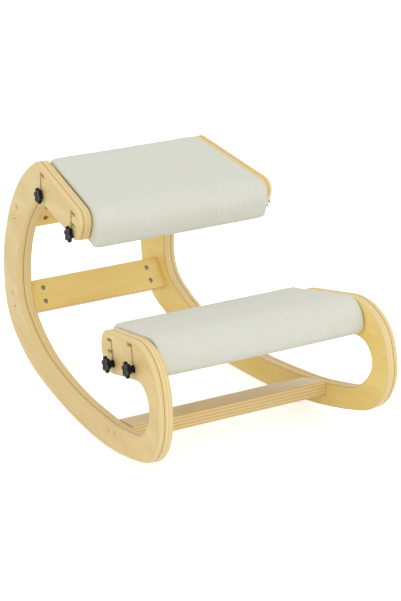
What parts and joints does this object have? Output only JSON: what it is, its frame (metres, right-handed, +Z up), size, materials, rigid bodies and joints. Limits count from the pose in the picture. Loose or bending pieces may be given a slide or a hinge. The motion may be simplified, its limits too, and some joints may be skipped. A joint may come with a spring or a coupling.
{
  "type": "kneeling chair",
  "caption": "Rocking plywood kneeling chair with an upholstered seat and knee pad that clamp at several heights in slotted curved side frames.",
  "frame": {"origin": "middle of the chair's footprint box, at floor level under the rockers", "axes": "+X forwards, from the seat towards the knee pad; +Y to the sitter's left; +Z up"},
  "size_m": [0.7546, 0.5532, 0.4624],
  "materials": {
    "birch_plywood": "satin",
    "rail_plywood": "satin",
    "board_wood": "matte",
    "linen": "matte",
    "knob_plastic": "matte",
    "washer_steel": "satin",
    "bolt_steel": "satin",
    "nut_steel": "satin"
  },
  "bodies": {
    "frame": {"foot_plank": "rail_plywood", "foot_plank_left_1_bolt": "bolt_steel", "foot_plank_left_1_nut": "nut_steel", "foot_plank_left_2_bolt": "bolt_steel", "foot_plank_left_2_nut": "nut_steel", "foot_plank_right_1_bolt": "bolt_steel", "foot_plank_right_1_nut": "nut_steel", "foot_plank_right_2_bolt": "bolt_steel", "foot_plank_right_2_nut": "nut_steel", "left_inner_layer": "birch_plywood", "left_outer_layer": "birch_plywood", "lower_rear_rail": "rail_plywood", "lower_rear_rail_left_1_bolt": "bolt_steel", "lower_rear_rail_left_1_nut": "nut_steel", "lower_rear_rail_left_2_bolt": "bolt_steel", "lower_rear_rail_left_2_nut": "nut_steel", "lower_rear_rail_right_1_bolt": "bolt_steel", "lower_rear_rail_right_1_nut": "nut_steel", "lower_rear_rail_right_2_bolt": "bolt_steel", "lower_rear_rail_right_2_nut": "nut_steel", "right_inner_layer": "birch_plywood", "right_outer_layer": "birch_plywood", "upper_rear_rail": "rail_plywood", "upper_rear_rail_left_1_bolt": "bolt_steel", "upper_rear_rail_left_1_nut": "nut_steel", "upper_rear_rail_left_2_bolt": "bolt_steel", "upper_rear_rail_left_2_nut": "nut_steel", "upper_rear_rail_right_1_bolt": "bolt_steel", "upper_rear_rail_right_1_nut": "nut_steel", "upper_rear_rail_right_2_bolt": "bolt_steel", "upper_rear_rail_right_2_nut": "nut_steel"},
    "seat_pad": {"seat_base_board": "board_wood", "seat_cushion": "linen", "seat_end_board_left": "board_wood", "seat_end_board_right": "board_wood"},
    "knee_pad": {"knee_base_board": "board_wood", "knee_cushion": "linen", "knee_end_board_left": "board_wood", "knee_end_board_right": "board_wood"},
    "knee_left_front_clamp_washer": {"knee_left_front_washer": "washer_steel"},
    "knee_left_front_clamp_knob": {"knee_left_front_knob": "knob_plastic"},
    "knee_left_rear_clamp_washer": {"knee_left_rear_washer": "washer_steel"},
    "knee_left_rear_clamp_knob": {"knee_left_rear_knob": "knob_plastic"},
    "knee_right_front_clamp_washer": {"knee_right_front_washer": "washer_steel"},
    "knee_right_front_clamp_knob": {"knee_right_front_knob": "knob_plastic"},
    "knee_right_rear_clamp_washer": {"knee_right_rear_washer": "washer_steel"},
    "knee_right_rear_clamp_knob": {"knee_right_rear_knob": "knob_plastic"},
    "seat_left_front_clamp_washer": {"seat_left_front_washer": "washer_steel"},
    "seat_left_front_clamp_knob": {"seat_left_front_knob": "knob_plastic"},
    "seat_left_rear_clamp_washer": {"seat_left_rear_washer": "washer_steel"},
    "seat_left_rear_clamp_knob": {"seat_left_rear_knob": "knob_plastic"},
    "seat_right_front_clamp_washer": {"seat_right_front_washer": "washer_steel"},
    "seat_right_front_clamp_knob": {"seat_right_front_knob": "knob_plastic"},
    "seat_right_rear_clamp_washer": {"seat_right_rear_washer": "washer_steel"},
    "seat_right_rear_clamp_knob": {"seat_right_rear_knob": "knob_plastic"}
  },
  "joints": [
    {"name": "seat_height", "type": "slide", "parent": "frame", "child": "seat_pad", "axis": [-0.1331, 0, 0.9911], "range_m": [0, 0.044]},
    {"name": "knee_height", "type": "slide", "parent": "frame", "child": "knee_pad", "axis": [-0.3526, 0, 0.9358], "range_m": [0, 0.043]},
    {"name": "knee_left_front_thread", "type": "slide", "parent": "knee_pad", "child": "knee_left_front_clamp_washer", "axis": [-0.1229, 0.9924, 0.0008], "range_m": [0, 0.003]},
    {"name": "knee_left_front_turn", "type": "hinge", "parent": "knee_left_front_clamp_washer", "child": "knee_left_front_clamp_knob", "pos_m": [0.25822, 0.25737, 0.21777], "axis": [-0.1229, 0.9924, 0.0008], "range_deg": [0, 1080]},
    {"name": "knee_left_rear_thread", "type": "slide", "parent": "knee_pad", "child": "knee_left_rear_clamp_washer", "axis": [-0.1229, 0.9924, 0.0008], "range_m": [0, 0.003]},
    {"name": "knee_left_rear_turn", "type": "hinge", "parent": "knee_left_rear_clamp_washer", "child": "knee_left_rear_clamp_knob", "pos_m": [0.17123, 0.24662, 0.19062], "axis": [-0.1229, 0.9924, 0.0008], "range_deg": [0, 1080]},
    {"name": "knee_right_front_thread", "type": "slide", "parent": "knee_pad", "child": "knee_right_front_clamp_washer", "axis": [-0.1229, -0.9924, 0.0008], "range_m": [0, 0.003]},
    {"name": "knee_right_front_turn", "type": "hinge", "parent": "knee_right_front_clamp_washer", "child": "knee_right_front_clamp_knob", "pos_m": [0.25822, -0.25737, 0.21777], "axis": [-0.1229, -0.9924, 0.0008], "range_deg": [0, 1080]},
    {"name": "knee_right_rear_thread", "type": "slide", "parent": "knee_pad", "child": "knee_right_rear_clamp_washer", "axis": [-0.1229, -0.9924, 0.0008], "range_m": [0, 0.003]},
    {"name": "knee_right_rear_turn", "type": "hinge", "parent": "knee_right_rear_clamp_washer", "child": "knee_right_rear_clamp_knob", "pos_m": [0.17123, -0.24662, 0.19062], "axis": [-0.1229, -0.9924, 0.0008], "range_deg": [0, 1080]},
    {"name": "seat_left_front_thread", "type": "slide", "parent": "seat_pad", "child": "seat_left_front_clamp_washer", "axis": [-0.1229, 0.9924, 0.0008], "range_m": [0, 0.003]},
    {"name": "seat_left_front_turn", "type": "hinge", "parent": "seat_left_front_clamp_washer", "child": "seat_left_front_clamp_knob", "pos_m": [-0.04063, 0.22024, 0.36891], "axis": [-0.1229, 0.9924, 0.0008], "range_deg": [0, 1080]},
    {"name": "seat_left_rear_thread", "type": "slide", "parent": "seat_pad", "child": "seat_left_rear_clamp_washer", "axis": [-0.1229, 0.9924, 0.0008], "range_m": [0, 0.003]},
    {"name": "seat_left_rear_turn", "type": "hinge", "parent": "seat_left_rear_clamp_washer", "child": "seat_left_rear_clamp_knob", "pos_m": [-0.19108, 0.20159, 0.39231], "axis": [-0.1229, 0.9924, 0.0008], "range_deg": [0, 1080]},
    {"name": "seat_right_front_thread", "type": "slide", "parent": "seat_pad", "child": "seat_right_front_clamp_washer", "axis": [-0.1229, -0.9924, 0.0008], "range_m": [0, 0.003]},
    {"name": "seat_right_front_turn", "type": "hinge", "parent": "seat_right_front_clamp_washer", "child": "seat_right_front_clamp_knob", "pos_m": [-0.04063, -0.22024, 0.36891], "axis": [-0.1229, -0.9924, 0.0008], "range_deg": [0, 1080]},
    {"name": "seat_right_rear_thread", "type": "slide", "parent": "seat_pad", "child": "seat_right_rear_clamp_washer", "axis": [-0.1229, -0.9924, 0.0008], "range_m": [0, 0.003]},
    {"name": "seat_right_rear_turn", "type": "hinge", "parent": "seat_right_rear_clamp_washer", "child": "seat_right_rear_clamp_knob", "pos_m": [-0.19108, -0.20159, 0.39231], "axis": [-0.1229, -0.9924, 0.0008], "range_deg": [0, 1080]}
  ],
  "couplings": [
    {"joint": "knee_left_front_turn", "follows": "knee_left_front_thread", "rad_per_m": 6283.2},
    {"joint": "knee_left_rear_turn", "follows": "knee_left_rear_thread", "rad_per_m": 6283.2},
    {"joint": "knee_right_front_turn", "follows": "knee_right_front_thread", "rad_per_m": 6283.2},
    {"joint": "knee_right_rear_turn", "follows": "knee_right_rear_thread", "rad_per_m": 6283.2},
    {"joint": "seat_left_front_turn", "follows": "seat_left_front_thread", "rad_per_m": 6283.2},
    {"joint": "seat_left_rear_turn", "follows": "seat_left_rear_thread", "rad_per_m": 6283.2},
    {"joint": "seat_right_front_turn", "follows": "seat_right_front_thread", "rad_per_m": 6283.2},
    {"joint": "seat_right_rear_turn", "follows": "seat_right_rear_thread", "rad_per_m": 6283.2}
  ]
}
